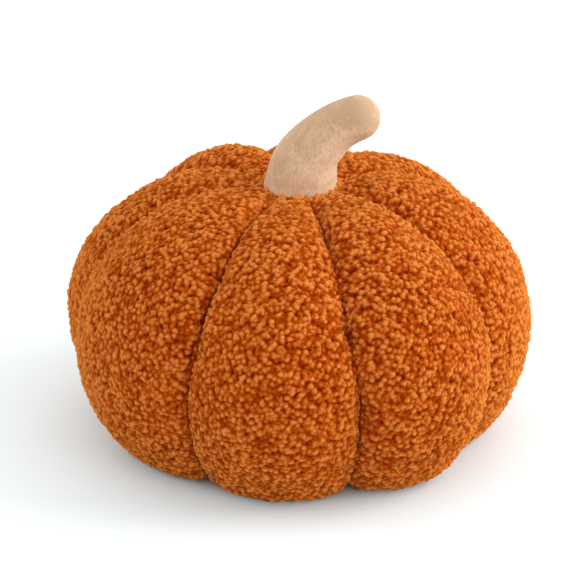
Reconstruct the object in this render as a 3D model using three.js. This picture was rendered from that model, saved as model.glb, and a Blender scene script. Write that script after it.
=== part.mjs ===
import * as THREE from 'three';

// A pumpkin cushion: a filled plush body drawn in along eight seams, with a stuffed suede stem.
// Millimetres, +Z up, front towards -Y. The origin is on the resting face, under the point
// where the seams gather.

// Body, measured to the tips of the pile
const seamReach = 166;         // radius of a seam at the widest height
const widestHeight = 85;
const crownRise = 118;         // from the widest height to the top, before the dimple
const bellyDrop = 130;         // from the widest height down, before the floor cuts it off
const crownSquareness = 0.896; // 1 is an ellipse, less is fuller at the shoulder
const bellySquareness = 0.84;
const dimpleDepth = 11;
const dimpleRadius = 35;
const footRound = 12;          // the underside curls in over this height above the floor
const footTuck = 4.5;          // and by this much

// Lobes
const lobeBulge = 12.6;        // crest past the seams on a lobe 45 degrees wide
const bulgeFade = 0.87;        // how fast the bulge dies out towards the poles
const lobeRoundness = 1.15;    // power of the arch across a lobe
const creaseDepth = 5;         // the thread pulls the seam line in this much further
const creaseWidth = 7;
const standardLobe = 45;        // degrees

// One row for each lobe, anticlockwise from the front as seen from above
//   seam      where the lobe starts, degrees from the front towards +X
//   drift     degrees that this seam wanders sideways at the shoulder
//   fullness  its bulge against the standard one
//   waist     extra reach at the widest height
//   shoulder  extra height towards the top
const lobes = [
  { seam: -30.0, drift: 2.0, fullness: 0.98, waist: -0.8, shoulder: 0.0 },
  { seam: 16.5, drift: -2.6, fullness: 1.07, waist: 1.0, shoulder: 0.0 },
  { seam: 60.1, drift: 0.8, fullness: 1.05, waist: -7.6, shoulder: 0.9 },
  { seam: 113.3, drift: 0.0, fullness: 1.02, waist: 2.7, shoulder: -3.6 },
  { seam: 152.0, drift: 1.0, fullness: 0.8, waist: -1.2, shoulder: -4.5 },
  { seam: 196.8, drift: -1.0, fullness: 0.98, waist: -1.8, shoulder: 3.6 },
  { seam: 235.0, drift: 0.0, fullness: 0.8, waist: 0.9, shoulder: -5.1 },
  { seam: 275.1, drift: 0.6, fullness: 0.74, waist: -4.5, shoulder: 0.0 },
];

// The stem's seat, a small flat round where the seams gather
const seatHeight = 192;
const seatRadius = 28;
const seatOffset = 2;          // the stem is sewn on a little to the right of the gather
const tuckAngle = 0.42;        // meridian angle over which the lobes rise from the seat, radians

// Stem
const stemGap = 0.3;           // between the stem's foot and its seat
const stemFlatness = 0.97;     // depth against width of its section
const bendCreaseDepth = 2.2;   // the pinch on the inside of the bend
const bendCreaseAt = 0.47;     // share of the stem's length
const bendCreaseLength = 0.07;
const uprightShare = 0.3;      // over this much of its length the stem turns from upright to its curve

// One row for each station up the stem: its centre and its radius
const stemStations = [
  { side: 2.0, rise: 0, radius: 25.8 },
  { side: 3.2, rise: 8, radius: 26.1 },
  { side: 5.6, rise: 16.5, radius: 25.2 },
  { side: 10.8, rise: 26, radius: 23.2 },
  { side: 17.4, rise: 34.6, radius: 21.0 },
  { side: 25.0, rise: 42, radius: 19.2 },
  { side: 33.4, rise: 47.8, radius: 18.1 },
  { side: 43.7, rise: 52.2, radius: 17.5 },
];

// Fineness
const columnsPerLobe = 12;
const bodyRows = 38;
const stemSides = 24;
const stemRings = 22;
const capRings = 6;
const floorSearchSteps = 40;
const normalStep = 0.001;

// The seam line from the top pole (0) to the bottom pole (pi), before the floor cuts it
function seamLine(angle) {
  const onCrown = angle < Math.PI / 2;
  const squareness = onCrown ? crownSquareness : bellySquareness;
  const reach = seamReach * Math.pow(Math.max(Math.sin(angle), 0), squareness);
  const dimple = onCrown ? dimpleDepth * Math.exp(-Math.pow(reach / dimpleRadius, 2)) : 0;
  const height = widestHeight + (onCrown ? crownRise : bellyDrop) * Math.cos(angle) - dimple;
  return new THREE.Vector2(reach, height);
}

// The outward direction of the seam line, across and up
function seamNormal(angle) {
  const before = seamLine(Math.max(angle - normalStep, 0));
  const after = seamLine(Math.min(angle + normalStep, Math.PI));
  const along = after.sub(before);
  return new THREE.Vector2(-along.y, along.x).normalize();
}

// Degrees round the body of one seam at a meridian angle
function seamDegrees(lobe, angle) {
  return lobe.seam + lobe.drift * Math.max(Math.sin(2 * angle), 0);
}

// A point of the puffed surface; across runs from -1 to 1 between the lobe's two seams
function puffedPoint(index, across, angle) {
  const lobe = lobes[index];
  const next = lobes[(index + 1) % lobes.length];
  const lastTurn = index + 1 === lobes.length ? 360 : 0;
  const start = seamDegrees(lobe, angle);
  const width = seamDegrees(next, angle) + lastTurn - start;
  const degrees = start + width * (across + 1) / 2;
  const line = seamLine(angle);
  const outward = seamNormal(angle);
  const sine = Math.max(Math.sin(angle), 0);

  const arch = Math.pow(Math.max(1 - across * across, 0), lobeRoundness);
  const bulge = lobeBulge * lobe.fullness * (width / standardLobe) * Math.pow(sine, bulgeFade);
  const seamDistance = (1 - Math.abs(across)) * THREE.MathUtils.degToRad(width / 2) * line.x;
  const crease = creaseDepth * sine * Math.exp(-Math.pow(seamDistance / creaseWidth, 2));
  const lift = bulge * arch - crease;

  const raised = lobe.shoulder * arch * Math.max(Math.cos(angle), 0) * Math.sqrt(sine);
  const height = line.y + outward.y * lift + raised;
  const curl = Math.max(1 - height / footRound, 0);
  const reach = line.x + outward.x * lift + lobe.waist * arch * sine * sine - footTuck * curl * curl;
  const turn = THREE.MathUtils.degToRad(degrees);
  return new THREE.Vector3(reach * Math.sin(turn), -reach * Math.cos(turn), height);
}

// The meridian angle at which a column meets the floor
function floorAngle(index, across) {
  let above = Math.PI / 2;
  let below = Math.PI;
  for (let step = 0; step < floorSearchSteps; step++) {
    const middle = (above + below) / 2;
    if (puffedPoint(index, across, middle).z > 0) above = middle;
    else below = middle;
  }
  return above;
}

// The meridian angle at which the seam line is as far out as the seat's rim
function seatAngle() {
  return Math.asin(Math.pow(seatRadius / seamReach, 1 / crownSquareness));
}

// One column of the body from the rim of the seat down to the floor
function bodyColumn(index, across) {
  const from = seatAngle();
  const to = floorAngle(index, across);
  const first = puffedPoint(index, across, from);
  const turn = Math.atan2(first.x, -first.y);
  const rim = new THREE.Vector3(seatOffset + seatRadius * Math.sin(turn),
    -seatRadius * Math.cos(turn), seatHeight);
  const pull = rim.clone().sub(first);
  const column = [];
  for (let row = 0; row <= bodyRows; row++) {
    const angle = THREE.MathUtils.lerp(from, to, row / bodyRows);
    const release = 1 - THREE.MathUtils.smoothstep(angle, from, from + tuckAngle);
    column.push(puffedPoint(index, across, angle).addScaledVector(pull, release));
  }
  column[bodyRows].z = 0;
  return column;
}

// A closed mesh from rings of points that run anticlockwise, top ring first, and its two poles
function closedRings(rings, topPole, bottomPole) {
  const sides = rings[0].length;
  const points = [topPole, ...rings.flat(), bottomPole];
  const faces = [];
  const at = (ring, side) => 1 + ring * sides + side % sides;
  const last = points.length - 1;
  for (let side = 0; side < sides; side++) {
    faces.push(0, at(0, side), at(0, side + 1));
    for (let ring = 0; ring + 1 < rings.length; ring++) {
      faces.push(at(ring, side), at(ring + 1, side), at(ring + 1, side + 1));
      faces.push(at(ring, side), at(ring + 1, side + 1), at(ring, side + 1));
    }
    faces.push(at(rings.length - 1, side), last, at(rings.length - 1, side + 1));
  }
  const geometry = new THREE.BufferGeometry().setFromPoints(points);
  geometry.setIndex(faces);
  geometry.computeVertexNormals();
  return geometry;
}

function bodyGeometry() {
  const columns = [];
  lobes.forEach((lobe, index) => {
    for (let column = 0; column < columnsPerLobe; column++) {
      // closer together beside the seams, where the surface turns most
      columns.push(bodyColumn(index, -Math.cos(Math.PI * column / columnsPerLobe)));
    }
  });
  const rings = [];
  for (let row = 0; row <= bodyRows; row++) {
    rings.push(columns.map((column) => column[row]));
  }
  return closedRings(rings, new THREE.Vector3(seatOffset, 0, seatHeight), new THREE.Vector3(0, 0, 0));
}

// The stem's radius at a share of its length, smooth through the stations
function stemRadius(share) {
  const radii = new THREE.CatmullRomCurve3(
    stemStations.map((station, index) => new THREE.Vector3(station.radius, index, 0)));
  return radii.getPoint(share).x;
}

function stemGeometry() {
  const foot = seatHeight + stemGap;
  const centreLine = new THREE.CatmullRomCurve3(
    stemStations.map((station) => new THREE.Vector3(station.side, 0, foot + station.rise)));
  const towardsCamera = new THREE.Vector3(0, -1, 0);
  const rings = [];

  const addRing = (centre, along, radius, share) => {
    const outwardSide = new THREE.Vector3().crossVectors(towardsCamera, along).normalize();
    const pinchReach = (share - bendCreaseAt) / bendCreaseLength;
    const pinch = bendCreaseDepth * Math.exp(-pinchReach * pinchReach);
    const ring = [];
    for (let side = 0; side < stemSides; side++) {
      const turn = 2 * Math.PI * side / stemSides;
      const inside = Math.max(-Math.cos(turn), 0);
      const reach = radius - pinch * inside * inside;
      ring.push(centre.clone()
        .addScaledVector(outwardSide, reach * Math.cos(turn))
        .addScaledVector(towardsCamera, stemFlatness * reach * Math.sin(turn)));
    }
    rings.push(ring);
  };

  // the round end, then the length down to the foot
  const tip = centreLine.getPoint(1);
  const tipAlong = centreLine.getTangent(1);
  const tipRadius = stemRadius(1);
  for (let ring = 1; ring <= capRings; ring++) {
    const turn = Math.PI / 2 * ring / (capRings + 1);
    const centre = tip.clone().addScaledVector(tipAlong, tipRadius * Math.cos(turn));
    addRing(centre, tipAlong, tipRadius * Math.sin(turn), 1);
  }
  const upright = new THREE.Vector3(0, 0, 1);
  for (let ring = stemRings; ring >= 0; ring--) {
    const share = ring / stemRings;
    const follows = THREE.MathUtils.smoothstep(share, 0, uprightShare);
    const along = upright.clone().lerp(centreLine.getTangent(share), follows).normalize();
    addRing(centreLine.getPoint(share), along, stemRadius(share), share);
  }
  const end = tip.clone().addScaledVector(tipAlong, tipRadius);
  return closedRings(rings, end, centreLine.getPoint(0));
}

const plush = new THREE.MeshStandardMaterial({ color: 0xb5560f, roughness: 0.95, metalness: 0 });
const suede = new THREE.MeshStandardMaterial({ color: 0xc79c72, roughness: 0.85, metalness: 0 });

const body = new THREE.Mesh(bodyGeometry(), plush);
body.name = 'body_cushion';

const stem = new THREE.Mesh(stemGeometry(), suede);
stem.name = 'stem';

const pumpkin = new THREE.Group();
pumpkin.add(body, stem);

export default pumpkin;
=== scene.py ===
import bpy
import math
import numpy
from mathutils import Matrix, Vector, noise


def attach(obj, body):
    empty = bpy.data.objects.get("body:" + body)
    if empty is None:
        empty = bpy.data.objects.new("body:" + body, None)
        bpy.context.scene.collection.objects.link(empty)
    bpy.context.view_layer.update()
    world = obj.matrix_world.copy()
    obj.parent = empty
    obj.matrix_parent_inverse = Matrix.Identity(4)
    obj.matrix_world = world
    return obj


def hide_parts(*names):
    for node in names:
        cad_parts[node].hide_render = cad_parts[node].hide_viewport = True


# Pumpkin cushion: a curly fleece body in eight lobes, and a stuffed suede stem. Metres, +Z up, front at -Y.

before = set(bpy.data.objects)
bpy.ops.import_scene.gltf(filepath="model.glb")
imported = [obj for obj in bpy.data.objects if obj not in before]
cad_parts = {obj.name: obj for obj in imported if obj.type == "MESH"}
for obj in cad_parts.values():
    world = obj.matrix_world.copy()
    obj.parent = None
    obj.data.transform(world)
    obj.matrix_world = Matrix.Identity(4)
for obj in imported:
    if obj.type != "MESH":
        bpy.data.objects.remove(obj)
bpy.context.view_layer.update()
bodyNode = "body_cushion"
stemNode = "stem"
scene = bpy.context.scene
weldGap = 0.00002            # points nearer than this are one
print("frame loaded:", sorted(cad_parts))


# small tools

def deselectAll():
    if bpy.context.object and bpy.context.object.mode != "OBJECT":
        bpy.ops.object.mode_set(mode="OBJECT")
    bpy.ops.object.select_all(action="DESELECT")


def choose(piece):
    deselectAll()
    piece.select_set(True)
    bpy.context.view_layer.objects.active = piece


def linked(name, mesh):
    piece = bpy.data.objects.new(name, mesh)
    scene.collection.objects.link(piece)
    return piece


def copyOfNode(nodeName, pieceName):
    piece = linked(pieceName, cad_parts[nodeName].data.copy())
    piece.data.materials.clear()
    choose(piece)
    bpy.ops.object.mode_set(mode="EDIT")
    bpy.ops.mesh.select_all(action="SELECT")
    bpy.ops.mesh.remove_doubles(threshold=weldGap)      # the node is loose triangles
    bpy.ops.object.mode_set(mode="OBJECT")
    return piece


def applyAll(piece):
    choose(piece)
    for modifier in list(piece.modifiers):
        bpy.ops.object.modifier_apply(modifier=modifier.name)


def remeshed(piece, size):
    modifier = piece.modifiers.new("Remesh", "REMESH")
    modifier.mode = "VOXEL"
    modifier.voxel_size = size
    applyAll(piece)


def subdivide(piece, levels):
    modifier = piece.modifiers.new("Subdivision", "SUBSURF")
    modifier.levels = levels
    modifier.render_levels = levels
    applyAll(piece)


def pointsOf(piece):
    flat = numpy.empty(3 * len(piece.data.vertices))
    piece.data.vertices.foreach_get("co", flat)
    return flat.reshape(-1, 3)


def normalsOf(piece):
    flat = numpy.empty(3 * len(piece.data.vertices))
    piece.data.vertices.foreach_get("normal", flat)
    return flat.reshape(-1, 3)


def setPoints(piece, points):
    piece.data.vertices.foreach_set("co", points.ravel())
    piece.data.update()


def moveAlongNormals(piece, amount):
    choose(piece)
    bpy.ops.object.mode_set(mode="EDIT")
    bpy.ops.mesh.select_all(action="SELECT")
    bpy.ops.transform.shrink_fatten(value=amount)
    bpy.ops.object.mode_set(mode="OBJECT")


def hills(distance, width):
    return numpy.exp(-(distance / width) ** 2)


def slope(low, high, values):
    share = numpy.clip((values - low) / (high - low), 0.0, 1.0)
    return share * share * (3 - 2 * share)


def waves(points, size, offset=0.0):
    shift = Vector((offset, offset, offset))
    return numpy.array([noise.noise(Vector(point) / size + shift) for point in points])


# shader maths, on wires

class Wire:
    def __init__(self, tree, socket):
        self.tree = tree
        self.socket = socket

    @classmethod
    def node(cls, tree, kind, settings=None, sockets=None, out=0):
        made = tree.nodes.new(kind)
        for name, value in (settings or {}).items():
            setattr(made, name, value)
        for name, value in (sockets or {}).items():
            if isinstance(value, Wire):
                tree.links.new(value.socket, made.inputs[name])
            else:
                made.inputs[name].default_value = value
        return cls(tree, made.outputs[out])

    def maths(self, operation, first, second):
        return Wire.node(self.tree, "ShaderNodeMath", {"operation": operation}, {0: first, 1: second})

    def __add__(self, other):
        return self.maths("ADD", self, other)

    def __radd__(self, other):
        return self.maths("ADD", other, self)

    def __sub__(self, other):
        return self.maths("SUBTRACT", self, other)

    def __rsub__(self, other):
        return self.maths("SUBTRACT", other, self)

    def __mul__(self, other):
        return self.maths("MULTIPLY", self, other)

    def __rmul__(self, other):
        return self.maths("MULTIPLY", other, self)

    def atLeast(self, lowest):
        return self.maths("MAXIMUM", self, lowest)

    def unsigned(self):
        return self.maths("ABSOLUTE", self, 0.0)

    def smoothly(self, low, high, top=1.0):
        return Wire.node(self.tree, "ShaderNodeMapRange", {"interpolation_type": "SMOOTHSTEP"},
                         {"Value": self, "From Min": low, "From Max": high, "To Max": top})


def newMaterial(name):
    material = bpy.data.materials.new(name)
    material.use_nodes = True
    tree = material.node_tree
    tree.nodes.clear()
    return material, tree


def mixColour(tree, share, first, second):
    return Wire.node(tree, "ShaderNodeMix", {"data_type": "RGBA"}, {0: share, 6: first, 7: second}, out=2)


def bentBy(tree, warp, reach, place):
    return Wire.node(tree, "ShaderNodeVectorMath", {"operation": "MULTIPLY_ADD"},
                     {0: warp, 1: (reach, reach, reach), 2: place})


def axisOf(tree, vector, axis):
    return Wire.node(tree, "ShaderNodeSeparateXYZ", {}, {"Vector": vector}, out=axis)


def finishMaterial(tree, sockets):
    shader = Wire.node(tree, "ShaderNodeBsdfPrincipled", {}, sockets)
    output = tree.nodes.new("ShaderNodeOutputMaterial")
    tree.links.new(shader.socket, output.inputs["Surface"])


# camera, at the photograph's angle

view = {
    "elevation": 24.04,      # degrees above the floor
    "distance": 2.94,
    "lens": 244.7,
    "sensor": 36.0,
    "aim": (-0.0056, 0.0, 0.1066),
    "clipEnd": 60.0,
}


def makeCamera():
    tilt = math.radians(view["elevation"])
    back = Vector((0.0, -math.cos(tilt), math.sin(tilt)))
    place = Vector(view["aim"]) + back * view["distance"]
    bpy.ops.object.camera_add(location=place, rotation=(math.pi / 2 - tilt, 0.0, 0.0))
    camera = bpy.context.object
    camera.data.lens = view["lens"]
    camera.data.sensor_width = view["sensor"]
    camera.data.clip_end = view["clipEnd"]
    scene.camera = camera
    print("camera set")


# floor and light, a white studio

studio = {
    "floorSize": 40.0,
    "floorGap": 0.0003,
    "floorColour": (0.81, 0.81, 0.80, 1.0),
    "floorRoughness": 0.9,
    "floorShine": 0.2,
    "glow": (0.03, 0.11, 0.125, 1.0),  # painted glow: the floor emits this light, which lifts its shadow and keeps the cushion's orange out of it
    "glowFrom": 0.122,       # but not under the cushion
    "glowFull": 0.140,
    "glowFades": 0.26,       # nor far from it
    "glowEnds": 0.60,
    "skyBack": 1.28,         # light that comes from behind, above and the sides
    "skyFront": 0.70,        # and from the camera's side
    "skyTurns": (-0.9, 0.1), # over these values of the direction's Y
    "skySeen": 1.2,          # the white behind the cushion
    "aimHeight": 0.1,        # the lights point at the cushion's middle
    "keyPower": 43.0,
    "keySize": 1.9,
    "keyPlace": (2.3, 0.1, 1.35),
    "fillPower": 11.0,
    "fillSize": 1.6,
    "fillPlace": (1.5, -1.9, 0.8),
    "rimPower": 9.0,
    "rimSize": 1.2,
    "rimPlace": (-2.4, 0.5, 0.7),
}


def makeFloor():
    bpy.ops.mesh.primitive_plane_add(size=studio["floorSize"], location=(0, 0, -studio["floorGap"]))
    floor = bpy.context.object
    floor.name = "studio_floor"
    material, tree = newMaterial("glowingWhiteFloor")
    place = Wire.node(tree, "ShaderNodeTexCoord", {}, {}, out="Object")
    away = Wire.node(tree, "ShaderNodeVectorMath", {"operation": "LENGTH"}, {0: place}, out="Value")
    # painted glow: the floor emits light in a ring round the cushion, which lifts its shadow and keeps the
    # orange bounce out of it
    share = away.smoothly(studio["glowFrom"], studio["glowFull"])
    far = away.smoothly(studio["glowFades"], studio["glowEnds"])
    glow = mixColour(tree, share * (1 - far), (0.0, 0.0, 0.0, 1.0), studio["glow"])
    finishMaterial(tree, {"Base Color": studio["floorColour"], "Roughness": studio["floorRoughness"],
                          "Specular IOR Level": studio["floorShine"], "Emission Color": glow,
                          "Emission Strength": 1.0})
    floor.data.materials.append(material)


def areaLight(name, place, size, power):
    bpy.ops.object.light_add(type="AREA", location=place)
    light = bpy.context.object
    light.name = name
    light.data.shape = "DISK"
    light.data.size = size
    light.data.energy = power
    towards = Vector((0, 0, studio["aimHeight"])) - Vector(place)
    light.rotation_euler = towards.to_track_quat("-Z", "Y").to_euler()


def makeLight():
    areaLight("key_light", studio["keyPlace"], studio["keySize"], studio["keyPower"])
    areaLight("fill_light", studio["fillPlace"], studio["fillSize"], studio["fillPower"])
    areaLight("rim_light", studio["rimPlace"], studio["rimSize"], studio["rimPower"])
    world = bpy.data.worlds.new("whiteRoom")
    scene.world = world
    world.use_nodes = True
    tree = world.node_tree
    tree.nodes.clear()
    direction = Wire.node(tree, "ShaderNodeTexCoord", {}, {}, out="Generated")
    along = axisOf(tree, direction, "Y")
    low, high = studio["skyTurns"]
    around = Wire.node(tree, "ShaderNodeMapRange", {}, {"Value": along, "From Min": low, "From Max": high,
                                                         "To Min": studio["skyFront"],
                                                         "To Max": studio["skyBack"]})
    seen = Wire.node(tree, "ShaderNodeLightPath", {}, {}, out="Is Camera Ray")
    strength = around * (1 - seen) + seen * studio["skySeen"]
    sky = Wire.node(tree, "ShaderNodeBackground", {}, {"Color": (1, 1, 1, 1), "Strength": strength})
    output = tree.nodes.new("ShaderNodeOutputWorld")
    tree.links.new(sky.socket, output.inputs["Surface"])
    scene.view_settings.view_transform = "Standard"
    scene.view_settings.look = "None"
    print("floor and light set")


# fleece: curls of wool, with painted shade at their roots and a painted highlight at their tips

fleece = {
    # root is painted shade in the gaps between the curls, and tip is a painted highlight on their tops
    "root": (0.20, 0.006, 0.0001, 1.0),
    "deep": (0.37, 0.039, 0.0002, 1.0),
    "bright": (0.50, 0.081, 0.0004, 1.0),
    "tip": (0.72, 0.212, 0.0390, 1.0),
    "sheen": (1.0, 0.76, 0.15, 1.0),
    "rise": (0.25, 0.64),    # heights over which the painted shade at the roots turns into wool
    "crest": (0.56, 1.04),   # and the wool into the painted highlight at the tips
    "ringlet": 0.0019,       # size of the small ringlets on each curl
    "fibre": 0.0007,         # and of the fibres, in the relief
    "fibreShare": 0.5,
    "kinkScale": 900.0,
    "kink": 0.0014,          # how far the ringlets are bent
    "reliefStrength": 0.9,
    "reliefDepth": 0.0010,
    "roughness": 0.92,
    "shine": 0.03,
    "sheenWeight": 0.42,
    "sheenRoughness": 0.36,
}


def makeFleece():
    material, tree = newMaterial("curlyFleece")
    height = Wire.node(tree, "ShaderNodeAttribute", {"attribute_name": "tipwards"}, {}, out="Fac")
    tint = Wire.node(tree, "ShaderNodeAttribute", {"attribute_name": "tint"}, {}, out="Fac")
    place = Wire.node(tree, "ShaderNodeTexCoord", {}, {}, out="Object")
    wool = mixColour(tree, tint, fleece["deep"], fleece["bright"])
    low, high = fleece["rise"]
    rise = Wire.node(tree, "ShaderNodeMapRange", {}, {"Value": height, "From Min": low, "From Max": high})
    crest = height.smoothly(*fleece["crest"])
    # colour by height: painted shade at the curls' roots and a painted highlight at their tips
    colour = mixColour(tree, crest, mixColour(tree, rise, fleece["root"], wool), fleece["tip"])
    kinks = Wire.node(tree, "ShaderNodeTexNoise", {}, {"Vector": place, "Scale": fleece["kinkScale"],
                                                        "Detail": 1.0}, out=1)
    bent = bentBy(tree, kinks, fleece["kink"], place)
    ringlets = Wire.node(tree, "ShaderNodeTexVoronoi", {"feature": "F1"},
                         {"Vector": bent, "Scale": 1 / fleece["ringlet"]})
    fibres = Wire.node(tree, "ShaderNodeTexNoise", {}, {"Vector": bent, "Scale": 1 / fleece["fibre"],
                                                         "Detail": 2.0, "Roughness": 0.6})
    relief = Wire.node(tree, "ShaderNodeBump", {}, {"Height": 1 - ringlets + fibres * fleece["fibreShare"],
                                                    "Strength": fleece["reliefStrength"],
                                                    "Distance": fleece["reliefDepth"]})
    finishMaterial(tree, {"Base Color": colour, "Roughness": fleece["roughness"],
                          "Specular IOR Level": fleece["shine"], "Sheen Weight": fleece["sheenWeight"],
                          "Sheen Roughness": fleece["sheenRoughness"], "Sheen Tint": fleece["sheen"],
                          "Normal": relief})
    return material


# body: blown out of the CAD solid, drawn in along the seams, and covered in curls

body = {
    "pile": 0.0030,          # the curls stand this far off their ground
    "startInside": 0.0052,   # the simulation starts this far inside the solid
    "clothVoxel": 0.0062,
    "voxel": 0.0037,
    "pressure": 1500.0,
    "frames": 20,
    "cap": 0.0026,           # the furthest that a point may move
    "seamHold": 0.008,       # width of the stretch that the seam thread holds
    "footHold": (0.002, 0.012),      # the foot is held below these heights
    "seatHold": 0.02,        # and the seat this far past its rim
    "crease": 0.0050,
    "creaseWidth": 0.0056,
    "creaseFrom": (0.02, 0.06),      # it grows over this reach from the middle
    "unevenPull": 0.45,      # the thread pulls unevenly
    "pullSize": 0.022,
    "tuckWidth": 1.3,        # against the crease's width
    "soft": 0.0012,          # the filling's lumps, and their size
    "softSize": 0.045,
    "lumps": 0.0005,
    "lumpSize": 0.016,
    "lumpOffset": 9.0,
    "seamPile": 0.0021,      # the thread flattens the curls this far to each side
    "flattenedAndShaded": 0.42,       # and by this share, which also paints the seams darker with the roots' painted shade
    "thread": 0.009,         # over which that share varies
    "threadVaries": 0.9,
    # the fold flattens its curls by this share, which also paints shade along it
    "pinchFlattenedAndShaded": 0.7,
    "threadFrom": (0.03, 0.045),     # no thread nearer than this to the stem
    "underside": 0.0012,     # height of the ground round the resting face
    "undersideRim": 0.006,
    "undersideReach": 0.004, # ground lower than this comes down to the floor
    "flatWithin": 0.00001,
    "fill": 0.85,
}

seams = [                    # degrees from the front towards +X, and how far each wanders at the shoulder
    (-30.0, 2.0),
    (16.5, -2.6),
    (60.1, 0.8),
    (113.3, 0.0),
    (152.0, 1.0),
    (196.8, -1.0),
    (235.0, 0.0),
    (275.1, 0.6),
]

tucks = [                    # where the thread is pulled tight: place, depth, and how far round it reaches
    ((0.0207, -0.0807, 0.1895), 0.0050, 0.011),
    ((-0.0767, -0.1392, 0.1209), 0.0042, 0.013),
    ((0.0469, -0.1585, 0.0720), 0.0040, 0.015),
    ((0.1290, -0.0740, 0.1500), 0.0030, 0.012),
    ((-0.0576, -0.1083, 0.1657), 0.0030, 0.010),
    ((0.0372, -0.1438, 0.1353), 0.0036, 0.010),
]

pinch = {                    # a fold that lies across the front lobe's shoulder
    "from": (-0.0254, -0.1146, 0.1871),
    "to": (0.0091, -0.1158, 0.1878),
    "depth": 0.0044,
    "width": 0.0036,
}

crown = {                    # of the solid
    "widest": 0.085,         # the height where it is widest
    "rise": 0.118,           # and the crown's height above that
    "seat": 0.028,           # reach of the stem's seat
    "contact": 0.1,          # and of the face that it rests on
}

stemFoot = {                 # where the stem stands on the seat
    "side": 0.002,
    "radius": 0.0258,
    "bare": (0.0040, 0.0008),        # the curls begin between these distances inside its rim
    "ruff": 0.50,            # how much longer they are round it
    "ruffAway": 0.003,
    "ruffWidth": 0.003,
}

cloth = {
    "quality": 5,
    "stiffness": 15.0,
    "shear": 5.0,
    "bending": 0.5,
    "leastHeld": 0.02,       # weaker holds than this are left out
}

curls = {
    "size": 0.0036,          # across one curl
    "little": 0.0026,        # across the little ones between them
    "height": 0.0038,
    "spread": 0.92,          # share of a curl's size at which it has sunk into the ground
    "largeRise": (0.80, 0.34),       # least height of a curl's top, and how much it varies
    "littleRise": (0.46, 0.30),
    "crimp": 0.0017,         # across a kink in the wool
    "crimpDepth": 0.35,
    "warpSize": 0.0042,
    "warp": 0.0026,          # how far they wriggle
    "clump": 0.0130,         # across a clump of curls
    "uneven": 0.0008,
    "patch": 0.035,          # across a patch of one tint
    "tintShares": (0.60, 0.25, 0.15),        # of the curl, the patch and the clump
    "paintedCrownLight": 0.03,          # painted light: how much lighter the crown is painted
    "paintedCrownLightOver": (0.13, 0.185),     # between these heights
    "paintedSideLight": 0.08,          # and the two sides, also painted light
    "paintedSideLightOver": (0.110, 0.165),
}


def aroundFrom(points):
    # degrees past each seam, one row a seam
    turn = numpy.degrees(numpy.arctan2(points[:, 0], -points[:, 1]))
    lift = numpy.clip((points[:, 2] - crown["widest"]) / crown["rise"], 0.0, 1.0)
    drift = numpy.sin(2 * numpy.arccos(lift))
    return numpy.array([turn - start - wander * drift for start, wander in seams])


def seamGap(points):
    apart = numpy.abs((aroundFrom(points) + 180) % 360 - 180).min(axis=0)
    return numpy.radians(apart) * numpy.hypot(points[:, 0], points[:, 1])


def pinchGap(points):
    start, end = numpy.array(pinch["from"]), numpy.array(pinch["to"])
    along = numpy.clip((points - start) @ (end - start) / ((end - start) @ (end - start)), 0.0, 1.0)
    return numpy.linalg.norm(points - start - along[:, None] * (end - start), axis=1)


def lobeOf(points):
    return (aroundFrom(points) % 360).argmin(axis=0)


def holdSeams(piece):
    held = piece.vertex_groups.new(name="held")
    points = pointsOf(piece)
    foot = 1 - slope(*body["footHold"], points[:, 2] - body["startInside"])
    reach = numpy.hypot(points[:, 0], points[:, 1])
    onTop = points[:, 2] > crown["widest"]
    seat = (1 - slope(crown["seat"], crown["seat"] + body["seatHold"], reach)) * onTop
    weights = numpy.maximum(numpy.maximum(hills(seamGap(points), body["seamHold"]), foot), seat)
    for index, weight in enumerate(weights):
        if weight > cloth["leastHeld"]:
            held.add([index], min(weight, 1.0), "REPLACE")


def inflate(piece, settings):
    start = pointsOf(piece)
    modifier = piece.modifiers.new("Cloth", "CLOTH")
    modifier.settings.quality = cloth["quality"]
    modifier.settings.tension_stiffness = cloth["stiffness"]
    modifier.settings.compression_stiffness = cloth["stiffness"]
    modifier.settings.shear_stiffness = cloth["shear"]
    modifier.settings.bending_stiffness = cloth["bending"]
    modifier.settings.use_pressure = True
    modifier.settings.uniform_pressure_force = settings["pressure"]
    modifier.settings.effector_weights.gravity = 0.0
    modifier.settings.vertex_group_mass = "held"
    modifier.collision_settings.use_collision = False
    scene.frame_start, scene.frame_end = 1, settings["frames"]
    for step in range(1, settings["frames"] + 1):
        scene.frame_set(step)
    applyAll(piece)
    scene.frame_set(1)
    moved = pointsOf(piece) - start
    length = numpy.linalg.norm(moved, axis=1)
    print("blown out by", round(1000 * float(numpy.median(length)), 2), "mm, at most",
          round(1000 * float(length.max()), 2))
    kept = settings["cap"] / numpy.maximum(length, settings["cap"])
    setPoints(piece, start + moved * kept[:, None])


def liftHeld(piece, amount):
    # what the thread and the stem held down comes back up to its place in the solid
    weights = numpy.zeros(len(piece.data.vertices))
    for vertex in piece.data.vertices:
        for membership in vertex.groups:
            weights[vertex.index] = membership.weight
    setPoints(piece, pointsOf(piece) + normalsOf(piece) * (amount * weights)[:, None])


def mergeUnderside(piece):
    # the middle of the resting face is flat, so it becomes one face
    points = pointsOf(piece)
    reach = numpy.hypot(points[:, 0], points[:, 1])
    flat = (points[:, 2] < body["flatWithin"]) & (reach < crown["contact"])
    choose(piece)
    bpy.ops.object.mode_set(mode="EDIT")
    bpy.ops.mesh.select_mode(type="VERT")
    bpy.ops.mesh.select_all(action="DESELECT")
    bpy.ops.object.mode_set(mode="OBJECT")
    piece.data.vertices.foreach_set("select", flat)
    bpy.ops.object.mode_set(mode="EDIT")
    bpy.ops.mesh.select_mode(type="FACE")
    bpy.ops.mesh.dissolve_faces()
    bpy.ops.object.mode_set(mode="OBJECT")


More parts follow.
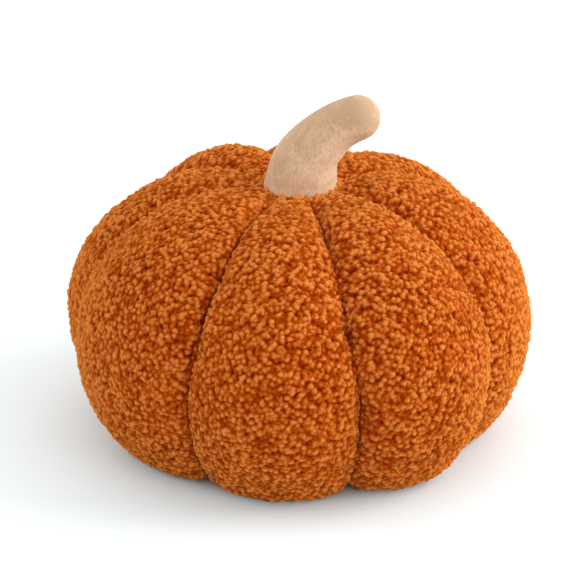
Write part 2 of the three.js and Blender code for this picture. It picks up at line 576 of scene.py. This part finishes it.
def drawInSeams(piece):
    points = pointsOf(piece)
    reach = numpy.hypot(points[:, 0], points[:, 1])
    gap = seamGap(points)
    pull = 1 + body["unevenPull"] * waves(points, body["pullSize"])
    depth = body["crease"] * pull * slope(*body["creaseFrom"], reach) * hills(gap, body["creaseWidth"])
    for place, deep, wide in tucks:
        away = numpy.linalg.norm(points - numpy.array(place), axis=1)
        depth += deep * hills(away, wide) * hills(gap, body["tuckWidth"] * body["creaseWidth"])
    depth += pinch["depth"] * hills(pinchGap(points), pinch["width"])
    soft = body["soft"] * waves(points, body["softSize"])
    soft += body["lumps"] * waves(points, body["lumpSize"], body["lumpOffset"])
    points += normalsOf(piece) * (soft - depth)[:, None]
    level = body["underside"] * slope(crown["contact"], crown["contact"] + body["undersideRim"], reach)
    points[:, 2] = numpy.maximum(points[:, 2], level)
    resting = (reach < crown["contact"]) & (points[:, 2] < body["undersideReach"])
    points[:, 2] = numpy.where(resting, 0.0, points[:, 2])
    setPoints(piece, points)


def markLobes(piece):
    centres = numpy.empty(3 * len(piece.data.polygons))
    piece.data.polygons.foreach_get("center", centres)
    for lobe in range(len(seams)):
        piece.data.materials.append(None)
    piece.data.polygons.foreach_set("material_index", lobeOf(centres.reshape(-1, 3)).astype(int))


def markCover(piece):
    # no curls under the stem, short ones along the seams and long ones round the stem's foot; the short
    # ones show more of the painted root shade, so the seams and the fold are painted darker
    points = pointsOf(piece)
    away = numpy.hypot(points[:, 0] - stemFoot["side"], points[:, 1])
    onTop = points[:, 2] > crown["widest"]
    deep, shallow = stemFoot["bare"]
    bare = (1 - slope(stemFoot["radius"] - deep, stemFoot["radius"] - shallow, away)) * onTop
    ruff = stemFoot["ruff"] * hills(away - stemFoot["radius"] - stemFoot["ruffAway"], stemFoot["ruffWidth"])
    ruff = ruff * onTop
    along = hills(seamGap(points), body["seamPile"]) * slope(*body["threadFrom"], away)
    along = along * (1 + body["threadVaries"] * waves(points, body["thread"]))
    across = body["pinchFlattenedAndShaded"] * hills(pinchGap(points), body["seamPile"])
    pressed = body["flattenedAndShaded"] * numpy.maximum(along, across)
    cover = piece.data.attributes.new("cover", "FLOAT", "POINT")
    cover.data.foreach_set("value", (1 - bare) * (1 + ruff - numpy.clip(pressed, 0.0, 1.0)))


def makeGround():
    piece = copyOfNode(bodyNode, "fleece_ground")
    moveAlongNormals(piece, -body["startInside"])
    remeshed(piece, body["clothVoxel"])
    holdSeams(piece)
    inflate(piece, body)
    liftHeld(piece, body["startInside"] - body["pile"])
    piece.vertex_groups.clear()
    subdivide(piece, 1)
    remeshed(piece, body["voxel"])
    subdivide(piece, 1)
    drawInSeams(piece)
    markLobes(piece)
    subdivide(piece, 1)
    markCover(piece)
    print("fleece ground made:", len(piece.data.polygons), "faces")
    return piece


def curlTree():
    tree = bpy.data.node_groups.new("curls", "GeometryNodeTree")
    tree.interface.new_socket("Geometry", in_out="INPUT", socket_type="NodeSocketGeometry")
    tree.interface.new_socket("Geometry", in_out="OUTPUT", socket_type="NodeSocketGeometry")
    ground = Wire.node(tree, "NodeGroupInput")
    place = Wire.node(tree, "GeometryNodeInputPosition")
    outward = Wire.node(tree, "GeometryNodeInputNormal")

    warp = Wire.node(tree, "ShaderNodeTexNoise", {}, {"Vector": place, "Scale": 1 / curls["warpSize"],
                                                       "Detail": 1.0}, out=1)
    bent = bentBy(tree, warp, curls["warp"], place)
    cell = Wire.node(tree, "ShaderNodeTexVoronoi", {"feature": "F1"},
                     {"Vector": bent, "Scale": 1 / curls["size"]})
    tone = Wire(tree, cell.socket.node.outputs["Color"])
    own, other = axisOf(tree, tone, "X"), axisOf(tree, tone, "Y")
    clumps = Wire.node(tree, "ShaderNodeTexNoise", {}, {"Vector": place, "Scale": 1 / curls["clump"],
                                                         "Detail": 1.0})
    patches = Wire.node(tree, "ShaderNodeTexNoise", {}, {"Vector": place, "Scale": 1 / curls["patch"],
                                                          "Detail": 2.0})
    away = cell * (1 / curls["spread"])
    domed = (1 - away * away).atLeast(0.0)
    little = Wire.node(tree, "ShaderNodeTexVoronoi", {"feature": "F1"},
                       {"Vector": bent, "Scale": 1 / curls["little"]})
    near = little * (1 / curls["spread"])
    cover = Wire.node(tree, "GeometryNodeInputNamedAttribute", {"data_type": "FLOAT"}, {"Name": "cover"})
    crimp = Wire.node(tree, "ShaderNodeTexNoise", {}, {"Vector": place, "Scale": 1 / curls["crimp"],
                                                        "Detail": 1.0})
    least, varies = curls["largeRise"]
    large = domed * (least + varies * other)
    least, varies = curls["littleRise"]
    small = (1 - near * near) * (least + varies * own)
    share = (large.atLeast(small) + (crimp - 0.5) * curls["crimpDepth"]) * cover
    height = share * curls["height"] + (clumps - 0.5) * (2 * curls["uneven"]) * cover
    ofCurl, ofPatch, ofClump = curls["tintShares"]
    tint = own * ofCurl + patches * ofPatch + clumps * ofClump
    across, deep, high = [axisOf(tree, place, axis) for axis in "XYZ"]
    # painted light: the crown is painted lighter
    paintedCrownLight = high.smoothly(*curls["paintedCrownLightOver"], curls["paintedCrownLight"])
    # painted light: the two sides are painted lighter
    paintedSideLight = across.unsigned().smoothly(*curls["paintedSideLightOver"], curls["paintedSideLight"])
    # tipwards sets the colour ramp, so it carries the painted crown and side light as well as the curl's
    # height
    tipwards = share + paintedCrownLight + paintedSideLight

    marked = Wire.node(tree, "GeometryNodeStoreNamedAttribute", {"data_type": "FLOAT", "domain": "POINT"},
                       {"Geometry": ground, "Name": "tipwards", "Value": tipwards})
    tinted = Wire.node(tree, "GeometryNodeStoreNamedAttribute", {"data_type": "FLOAT", "domain": "POINT"},
                       {"Geometry": marked, "Name": "tint", "Value": tint})
    flat = Wire.node(tree, "ShaderNodeCombineXYZ", {}, {"X": tint, "Y": tipwards})
    mapped = Wire.node(tree, "GeometryNodeStoreNamedAttribute", {"data_type": "FLOAT2", "domain": "CORNER"},
                       {"Geometry": tinted, "Name": "OFBake", "Value": flat})
    offset = Wire.node(tree, "ShaderNodeVectorMath", {"operation": "SCALE"}, {0: outward, "Scale": height})
    raised = Wire.node(tree, "GeometryNodeSetPosition", {}, {"Geometry": mapped, "Offset": offset})
    above = Wire.node(tree, "ShaderNodeCombineXYZ", {}, {"X": across, "Y": deep, "Z": high.atLeast(0.0)})
    pressed = Wire.node(tree, "GeometryNodeSetPosition", {}, {"Geometry": raised, "Position": above})
    output = tree.nodes.new("NodeGroupOutput")
    tree.links.new(pressed.socket, output.inputs[0])
    return tree


def splitIntoLobes(piece):
    choose(piece)
    bpy.ops.mesh.separate(type="MATERIAL")
    lobes = sorted(bpy.context.selected_objects, key=lambda part: part.data.polygons[0].material_index)
    for number, lobe in enumerate(lobes, 1):
        lobe.name = "fleece_lobe_%d" % number
        lobe.data.materials.clear()
        mergeUnderside(lobe)
        closeBehind(lobe)
    return lobes


def closeBehind(piece):
    choose(piece)
    bpy.ops.object.mode_set(mode="EDIT")
    bpy.ops.mesh.select_mode(type="EDGE")
    bpy.ops.mesh.select_all(action="DESELECT")
    bpy.ops.mesh.select_non_manifold()
    bpy.ops.mesh.mark_sharp()
    bpy.ops.mesh.edge_face_add()
    bpy.ops.mesh.select_mode(type="FACE")
    bpy.ops.mesh.poke()
    bpy.ops.object.mode_set(mode="OBJECT")


def makeBody(material):
    ground = makeGround()
    modifier = ground.modifiers.new("Curls", "NODES")
    modifier.node_group = curlTree()
    bpy.ops.object.modifier_apply(modifier=modifier.name)
    print("curls raised")
    total = 0
    for piece in splitIntoLobes(ground):
        choose(piece)
        bpy.ops.object.shade_smooth(keep_sharp_edges=True)
        piece.data.materials.append(material)
        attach(piece, "root")
        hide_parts(bodyNode)
        count = sum(len(face.vertices) - 2 for face in piece.data.polygons)
        total += count
        print(piece.name, count, "triangles")
    print("body made:", total, "triangles")


# stem: stuffed suede

stem = {
    "voxel": 0.0028,
    "startInside": 0.0003,
    "pressure": 1300.0,
    "frames": 14,
    "cap": 0.0012,
    "foot": 0.006,           # the thread holds the stem up to this height
    "sink": 0.0040,          # its foot goes down among the curls
    "sinkOver": (0.002, 0.007),
    "fill": 0.95,
    "light": (0.76, 0.540, 0.355, 1.0),
    "dark": (0.50, 0.318, 0.193, 1.0),
    "paintedBendShade": 0.11,         # painted shade on the outside of the bend, its upper left
    "paintedBendShadeOver": (0.204, 0.230),   # height less the way across
    "paintedTipShade": 0.14,          # and painted shade at the tip
    "paintedTipShadeOver": (0.238, 0.312),    # height and the way across
    "shades": (0.34, 0.60),  # values of the noise from dark to light
    "flare": 0.02,           # the foot spreads by this share
    "flareOver": (0.003, 0.018),
    "rim": 0.10,             # and its sewn rim by this much more
    "rimOver": (0.001, 0.006),
    "sheen": (1.0, 0.88, 0.76, 1.0),
    "lean": 0.5,             # the nap runs up the leaning stem
    "stretch": 0.28,
    "patchScale": 48.0,
    "streakScale": 900.0,
    "napScale": 1700.0,
    "streakRelief": 0.7,
    "reliefStrength": 0.6,
    "reliefDepth": 0.0004,
    "roughness": 0.85,
    "shine": 0.15,
    "sheenWeight": 0.08,
    "sheenRoughness": 0.4,
}


def makeSuede():
    material, tree = newMaterial("stemSuede")
    place = Wire.node(tree, "ShaderNodeTexCoord", {}, {}, out="Object")
    upward = Wire.node(tree, "ShaderNodeMapping", {}, {"Vector": place,
                                                        "Rotation": (0.0, stem["lean"], 0.0),
                                                        "Scale": (1.0, 1.0, stem["stretch"])})
    patches = Wire.node(tree, "ShaderNodeTexNoise", {}, {"Vector": place, "Scale": stem["patchScale"],
                                                          "Detail": 4.0, "Roughness": 0.65,
                                                          "Distortion": 0.6})
    streaks = Wire.node(tree, "ShaderNodeTexNoise", {}, {"Vector": upward, "Scale": stem["streakScale"],
                                                          "Detail": 3.0, "Roughness": 0.7})
    high, across = axisOf(tree, place, "Z"), axisOf(tree, place, "X")
    paintedBendShade = (high - across).smoothly(*stem["paintedBendShadeOver"], stem["paintedBendShade"])
    paintedTipShade = (high + across).smoothly(*stem["paintedTipShadeOver"], stem["paintedTipShade"])
    # the colour carries painted shade on the bend and at the tip
    shade = patches * 0.5 + streaks * 0.5 - paintedBendShade - paintedTipShade
    low, top = stem["shades"]
    share = Wire.node(tree, "ShaderNodeMapRange", {}, {"Value": shade, "From Min": low, "From Max": top})
    colour = mixColour(tree, share, stem["dark"], stem["light"])
    nap = Wire.node(tree, "ShaderNodeTexNoise", {}, {"Vector": upward, "Scale": stem["napScale"],
                                                      "Detail": 3.0, "Roughness": 0.75})
    relief = Wire.node(tree, "ShaderNodeBump", {}, {"Height": nap + streaks * stem["streakRelief"],
                                                    "Strength": stem["reliefStrength"],
                                                    "Distance": stem["reliefDepth"]})
    finishMaterial(tree, {"Base Color": colour, "Roughness": stem["roughness"],
                          "Specular IOR Level": stem["shine"], "Sheen Weight": stem["sheenWeight"],
                          "Sheen Roughness": stem["sheenRoughness"], "Sheen Tint": stem["sheen"],
                          "Normal": relief})
    return material


def holdFoot(piece):
    held = piece.vertex_groups.new(name="held")
    heights = pointsOf(piece)[:, 2]
    weights = 1 - slope(0.5 * stem["foot"], stem["foot"], heights - heights.min())
    for index, weight in enumerate(weights):
        if weight > cloth["leastHeld"]:
            held.add([index], weight, "REPLACE")


def makeStem(material):
    piece = copyOfNode(stemNode, "stem_suede")
    moveAlongNormals(piece, -stem["startInside"])
    remeshed(piece, stem["voxel"])
    holdFoot(piece)
    inflate(piece, stem)
    subdivide(piece, 1)
    piece.vertex_groups.clear()
    points = pointsOf(piece)
    rise = points[:, 2] - points[:, 2].min()
    spread = 1 + stem["flare"] * (1 - slope(*stem["flareOver"], rise))
    spread += stem["rim"] * (1 - slope(*stem["rimOver"], rise))
    points[:, 0] = stemFoot["side"] + (points[:, 0] - stemFoot["side"]) * spread
    points[:, 1] *= spread
    points[:, 2] -= stem["sink"] * (1 - slope(*stem["sinkOver"], rise))
    setPoints(piece, points)
    bpy.ops.object.shade_smooth()
    piece.data.materials.append(material)
    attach(piece, "root")
    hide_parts(stemNode)
    print("stem made:", len(piece.data.polygons), "faces")


makeCamera()
makeFloor()
makeLight()
makeBody(makeFleece())
makeStem(makeSuede())
